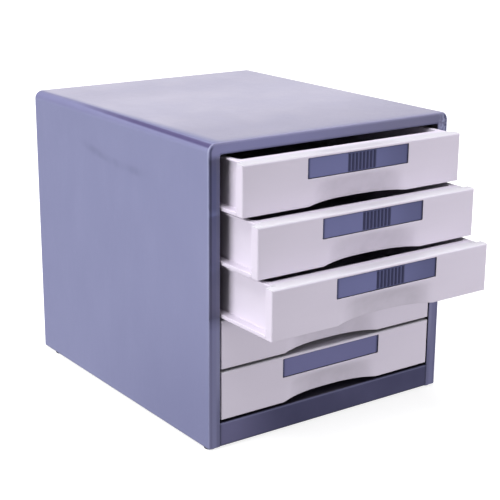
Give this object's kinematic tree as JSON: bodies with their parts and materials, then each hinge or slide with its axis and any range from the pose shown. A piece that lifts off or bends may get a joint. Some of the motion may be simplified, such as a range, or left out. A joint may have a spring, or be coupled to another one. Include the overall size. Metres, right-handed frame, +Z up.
{
  "type": "desktop file drawer",
  "caption": "Desktop file cabinet: a folded steel case with stacked plastic drawers that slide out on runner rails and are pulled by a finger scoop in each front.",
  "frame": {"origin": "on the desk plane, under the middle of the whole object's bounding box with its three upper drawers pulled out as pictured", "axes": "+X to the right seen from the front, +Y to the back, +Z up; the drawers open towards -Y"},
  "size_m": [0.3, 0.4358, 0.307],
  "materials": {
    "case_paint": "satin powder coat",
    "plinth_paint": "satin powder coat",
    "drawer_plastic": "fine grained moulding",
    "label_plastic": "satin",
    "rail_steel": "zinc plated",
    "screw_steel": "zinc plated",
    "foot_rubber": "matte"
  },
  "bodies": {
    "casing": {"outer_shell": "case_paint", "back_panel": "case_paint", "base_panel": "case_paint", "front_plinth": "plinth_paint", "foot_front_left": "foot_rubber", "foot_front_right": "foot_rubber", "foot_rear_left": "foot_rubber", "foot_rear_right": "foot_rubber", "back_screw_1": "screw_steel", "back_screw_2": "screw_steel", "back_screw_3": "screw_steel", "back_screw_4": "screw_steel", "back_screw_5": "screw_steel", "back_screw_6": "screw_steel", "rail_1_left": "rail_steel", "rail_1_right": "rail_steel", "rail_2_left": "rail_steel", "rail_2_right": "rail_steel", "rail_3_left": "rail_steel", "rail_3_right": "rail_steel", "rail_4_left": "rail_steel", "rail_4_right": "rail_steel", "rail_5_left": "rail_steel", "rail_5_right": "rail_steel"},
    "drawer_1": {"drawer_1_front": "drawer_plastic", "drawer_1_tray": "drawer_plastic", "drawer_1_label_plate": "label_plastic", "drawer_1_screw_left": "screw_steel", "drawer_1_screw_right": "screw_steel"},
    "drawer_2": {"drawer_2_front": "drawer_plastic", "drawer_2_tray": "drawer_plastic", "drawer_2_label_plate": "label_plastic", "drawer_2_screw_left": "screw_steel", "drawer_2_screw_right": "screw_steel"},
    "drawer_3": {"drawer_3_front": "drawer_plastic", "drawer_3_tray": "drawer_plastic", "drawer_3_label_plate": "label_plastic", "drawer_3_screw_left": "screw_steel", "drawer_3_screw_right": "screw_steel"},
    "drawer_4": {"drawer_4_front": "drawer_plastic", "drawer_4_tray": "drawer_plastic", "drawer_4_label_plate": "label_plastic", "drawer_4_screw_left": "screw_steel", "drawer_4_screw_right": "screw_steel"},
    "drawer_5": {"drawer_5_front": "drawer_plastic", "drawer_5_tray": "drawer_plastic", "drawer_5_label_plate": "label_plastic", "drawer_5_screw_left": "screw_steel", "drawer_5_screw_right": "screw_steel"}
  },
  "joints": [
    {"name": "drawer_1_slide", "type": "slide", "parent": "casing", "child": "drawer_1", "axis": [0, -1, 0], "range_m": [-0.034, 0.206]},
    {"name": "drawer_2_slide", "type": "slide", "parent": "casing", "child": "drawer_2", "axis": [0, -1, 0], "range_m": [-0.0582, 0.1818]},
    {"name": "drawer_3_slide", "type": "slide", "parent": "casing", "child": "drawer_3", "axis": [0, -1, 0], "range_m": [-0.0808, 0.1592]},
    {"name": "drawer_4_slide", "type": "slide", "parent": "casing", "child": "drawer_4", "axis": [0, -1, 0], "range_m": [0, 0.24]},
    {"name": "drawer_5_slide", "type": "slide", "parent": "casing", "child": "drawer_5", "axis": [0, -1, 0], "range_m": [0, 0.24]}
  ]
}
